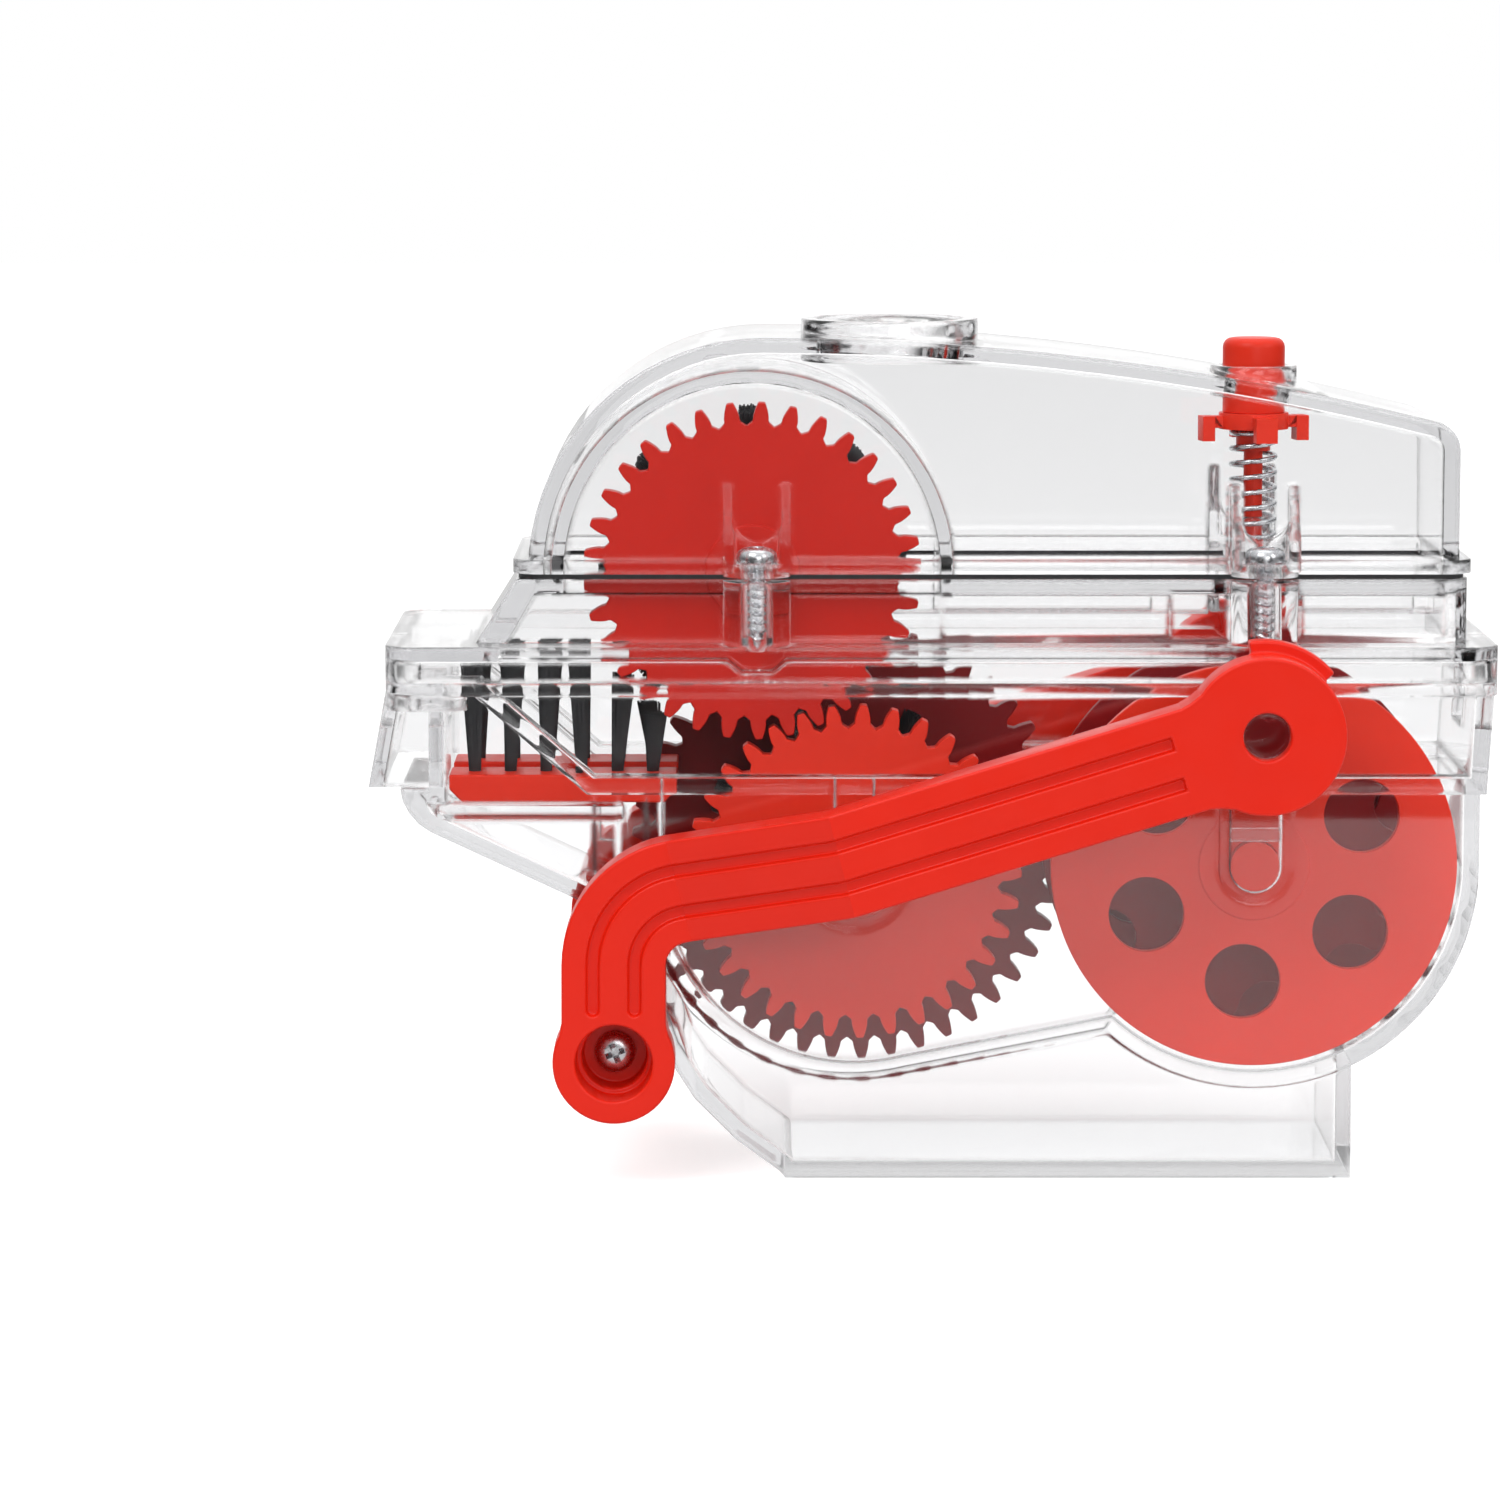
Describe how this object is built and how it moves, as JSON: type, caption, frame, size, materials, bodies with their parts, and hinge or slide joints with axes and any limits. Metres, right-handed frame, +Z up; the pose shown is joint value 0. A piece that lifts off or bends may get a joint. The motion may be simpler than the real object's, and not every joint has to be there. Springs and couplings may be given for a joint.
{
  "type": "bike chain cleaner",
  "caption": "Clear hand-held box that brushes a bicycle chain clean: the chain turns a wheel, gears turn bristle brushes, and a push button lets degreaser down from a tank.",
  "frame": {"origin": "centre of the foot's bottom face, on the middle plane", "axes": "+Z up; +X along the chain towards the chain wheel; -Y towards the viewer of the picture, where the handle's hub and the front gears are"},
  "size_m": [0.1513, 0.072, 0.1159],
  "materials": {
    "clear_plastic": "clear, polished injection moulding",
    "red_plastic": "moulded, semi-gloss",
    "handle_plastic": "moulded, satin",
    "bristles": "nylon bristle",
    "black_rubber": "matt",
    "steel": "plated"
  },
  "bodies": {
    "reservoir": {"lower_body": "clear_plastic", "inlet_brush_base": "red_plastic", "inlet_bristles": "bristles", "wheel_axle_keepers": "clear_plastic", "brush_axle_keepers": "clear_plastic"},
    "top": {"upper_body": "clear_plastic", "cover_gasket": "black_rubber", "top_cover": "clear_plastic", "cover_screws": "steel", "plunger_spring": "steel"},
    "plunger": {"plunger": "red_plastic", "plunger_collar": "red_plastic", "valve_seal": "black_rubber"},
    "upper_brush": {"upper_gear": "red_plastic", "upper_brush_core": "red_plastic", "upper_bristles": "bristles", "upper_axle": "red_plastic"},
    "lower_brush": {"lower_front_gear": "red_plastic", "lower_rear_gear": "red_plastic", "lower_brush_core": "red_plastic", "lower_bristles": "bristles", "lower_axle": "red_plastic"},
    "chain_wheel": {"wheel_front_disc": "red_plastic", "wheel_rear_disc": "red_plastic", "wheel_sprocket": "red_plastic", "wheel_gear": "red_plastic", "wheel_axle": "red_plastic"},
    "handle": {"handle_front_arm": "handle_plastic", "handle_rear_arm": "handle_plastic", "handle_grip": "handle_plastic", "grip_screws": "steel"}
  },
  "joints": [
    {"name": "wheel_spin", "type": "hinge", "parent": "reservoir", "child": "chain_wheel", "pos_m": [0.025, 0, 0.0428], "axis": [0, -1, 0], "continuous": true},
    {"name": "lower_brush_spin", "type": "hinge", "parent": "reservoir", "child": "lower_brush", "pos_m": [-0.02914, 0, 0.0418], "axis": [0, -1, 0], "continuous": true},
    {"name": "upper_brush_spin", "type": "hinge", "parent": "top", "child": "upper_brush", "pos_m": [-0.04289, 0, 0.08265], "axis": [0, -1, 0], "continuous": true},
    {"name": "top_lift", "type": "slide", "parent": "reservoir", "child": "top", "axis": [0, 0, 1], "range_m": [0, 0.04]},
    {"name": "button_press", "type": "slide", "parent": "top", "child": "plunger", "axis": [0, 0, -1], "range_m": [0, 0.0035], "stiffness_N_per_m": 400, "springref_m": -0.004, "deforming": ["plunger_spring"]},
    {"name": "handle_swing", "type": "hinge", "parent": "reservoir", "child": "handle", "pos_m": [0.025, 0, 0.0626], "axis": [0, -1, 0], "range_deg": [-2, 150]}
  ],
  "couplings": [
    {"joint": "lower_brush_spin", "follows": "wheel_spin", "ratio": -0.84444},
    {"joint": "upper_brush_spin", "follows": "wheel_spin", "ratio": 0.84444}
  ]
}
